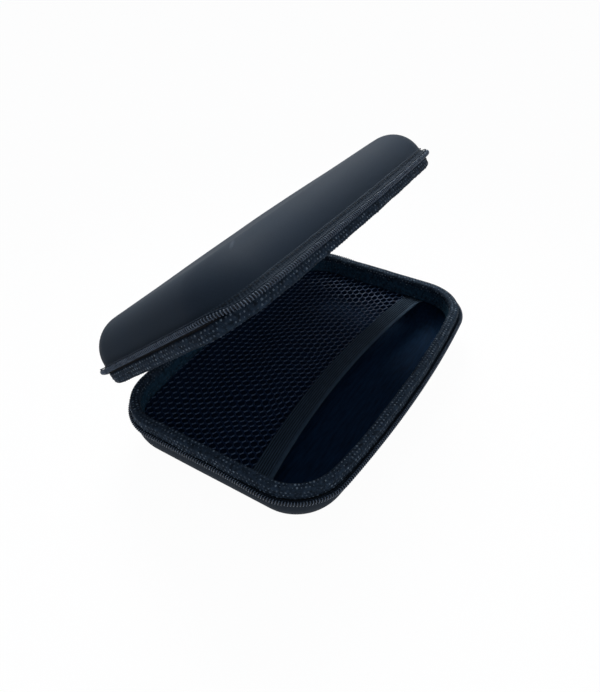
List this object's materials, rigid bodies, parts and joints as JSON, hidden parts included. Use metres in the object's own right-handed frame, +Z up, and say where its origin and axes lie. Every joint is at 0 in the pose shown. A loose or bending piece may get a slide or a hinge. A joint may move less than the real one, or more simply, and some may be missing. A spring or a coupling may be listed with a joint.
{
  "type": "zip-round travel case",
  "caption": "Small semi-hard clamshell travel case with two moulded foam shells, a round zip, a fabric hinge and a net pocket under an elastic band.",
  "frame": {"origin": "centre of the lower shell's flat underside, on the surface that the case lies on", "axes": "+X along the hinge, -Y towards the opening side, +Z up"},
  "size_m": [0.1658, 0.1227, 0.1102],
  "materials": {
    "shell_skin": "smooth coated",
    "shell_foam": "matte foam",
    "lining": "smooth knit",
    "binding": "matte dotted",
    "zip_tape": "woven",
    "zip_coil": "satin",
    "net": "knitted",
    "elastic": "ribbed",
    "thread": "thread",
    "spine_fabric": "woven",
    "slider_metal": "satin enamel"
  },
  "bodies": {
    "base": {"base_skin": "shell_skin", "base_foam": "shell_foam", "base_lining": "lining", "base_binding": "binding", "base_zip_tape": "zip_tape", "base_zip_coil": "zip_coil", "mesh_pocket": "net", "pocket_elastic": "elastic", "elastic_tacks": "thread", "hinge_strip": "spine_fabric", "hinge_lining": "binding"},
    "lid": {"lid_skin": "shell_skin", "lid_foam": "shell_foam", "lid_lining": "lining", "lid_binding": "binding", "lid_zip_tape": "zip_tape", "lid_zip_coil": "zip_coil"},
    "slider_left": {"slider_left": "slider_metal"},
    "slider_right": {"slider_right": "slider_metal"},
    "pull_left": {"pull_left": "slider_metal"},
    "pull_right": {"pull_right": "slider_metal"}
  },
  "joints": [
    {"name": "lid_hinge", "type": "hinge", "parent": "base", "child": "lid", "pos_m": [0, 0.06025, 0.0258], "axis": [-1, 0, 0], "range_deg": [-39, 141], "deforming": ["hinge_strip", "hinge_lining"]},
    {"name": "slider_right_run", "type": "slide", "parent": "base", "child": "slider_right", "axis": [0.9976, -0.0696, 0], "range_m": [0, 0.009]},
    {"name": "pull_right_swing", "type": "hinge", "parent": "slider_right", "child": "pull_right", "pos_m": [0.04337, 0.05884, 0.0213], "axis": [0.9976, -0.0696, 0], "range_deg": [-8, 160]},
    {"name": "slider_left_run", "type": "slide", "parent": "base", "child": "slider_left", "axis": [-0.9976, -0.0696, 0], "range_m": [0, 0.009]},
    {"name": "pull_left_swing", "type": "hinge", "parent": "slider_left", "child": "pull_left", "pos_m": [-0.04337, 0.05884, 0.0213], "axis": [0.9976, 0.0696, 0], "range_deg": [-8, 160]}
  ]
}
